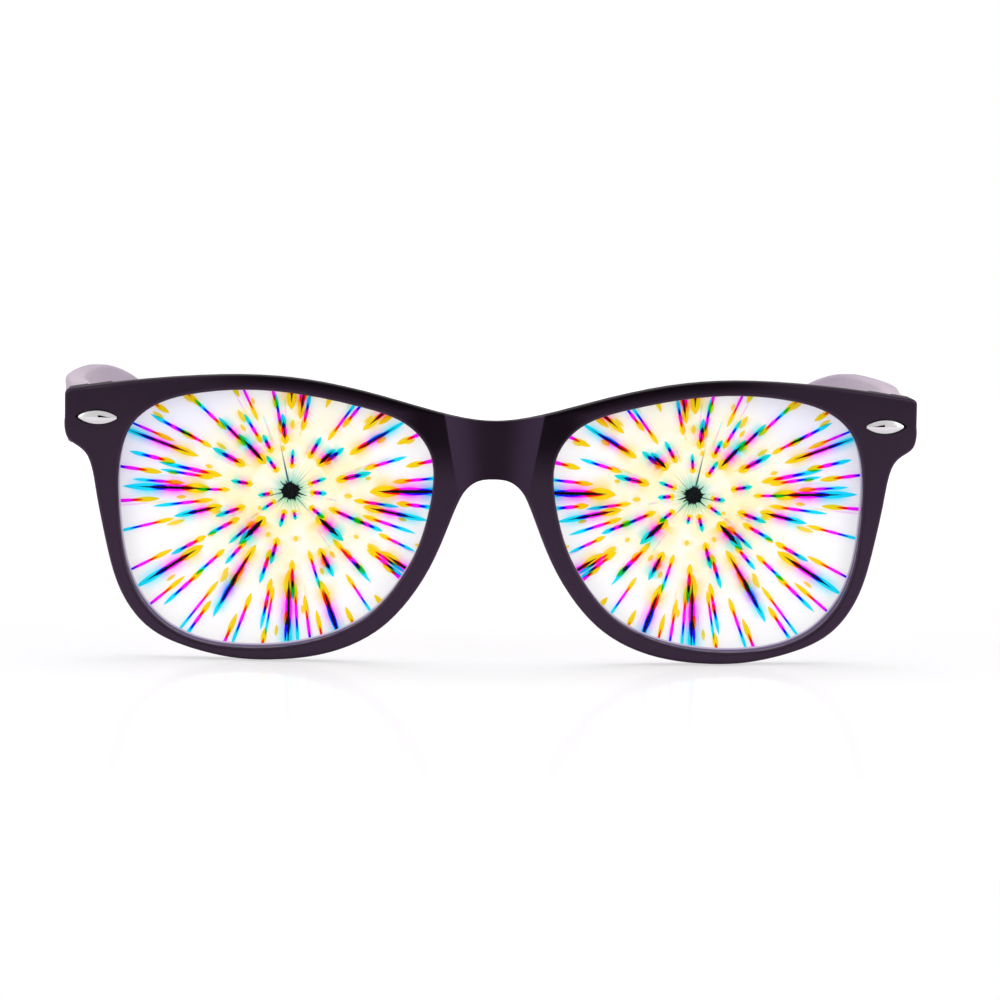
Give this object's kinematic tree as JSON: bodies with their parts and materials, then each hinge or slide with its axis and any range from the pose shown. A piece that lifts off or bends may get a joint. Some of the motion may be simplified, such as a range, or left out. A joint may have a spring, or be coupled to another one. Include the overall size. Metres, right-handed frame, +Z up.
{
  "type": "diffraction glasses",
  "caption": "Diffraction glasses: dark moulded front with grating lenses that draw starbursts, metal inlays, moulded nose pads and folding temples on screwed hinges.",
  "frame": {"origin": "centre of the base: midway between the front's foremost point and the ear ends, on the centre line, at the level of the rim bottoms and temple tips", "axes": "+X to the right as seen from the front (nodes named right_ lie at +X), +Y from the front towards the ear ends, +Z up, towards the brow"},
  "size_m": [0.152, 0.1506, 0.0485],
  "materials": {
    "frame_plastic": "satin",
    "temple_plastic": "satin",
    "lens_clear": "polished",
    "grating_film": "glossy",
    "inlay_metal": "polished",
    "hinge_metal": "brushed",
    "screw_metal": "polished"
  },
  "bodies": {
    "front": {"frame_front": "frame_plastic", "left_lens": "lens_clear", "left_grating_film": "grating_film", "left_inlay": "inlay_metal", "left_front_hinge_leaf": "hinge_metal", "left_hinge_screw": "screw_metal", "left_front_leaf_screw_upper": "screw_metal", "left_front_leaf_screw_lower": "screw_metal", "right_lens": "lens_clear", "right_grating_film": "grating_film", "right_inlay": "inlay_metal", "right_front_hinge_leaf": "hinge_metal", "right_hinge_screw": "screw_metal", "right_front_leaf_screw_upper": "screw_metal", "right_front_leaf_screw_lower": "screw_metal"},
    "left_temple": {"left_temple": "temple_plastic", "left_temple_hinge_leaf": "hinge_metal", "left_temple_leaf_screw_near": "screw_metal", "left_temple_leaf_screw_far": "screw_metal"},
    "right_temple": {"right_temple": "temple_plastic", "right_temple_hinge_leaf": "hinge_metal", "right_temple_leaf_screw_near": "screw_metal", "right_temple_leaf_screw_far": "screw_metal"}
  },
  "joints": [
    {"name": "right_hinge", "type": "hinge", "parent": "front", "child": "right_temple", "pos_m": [0.06805, -0.05883, 0.04059], "axis": [0, 0, 1], "range_deg": [0, 85]},
    {"name": "left_hinge", "type": "hinge", "parent": "front", "child": "left_temple", "pos_m": [-0.06805, -0.05883, 0.04059], "axis": [0, 0, -1], "range_deg": [0, 79]}
  ]
}
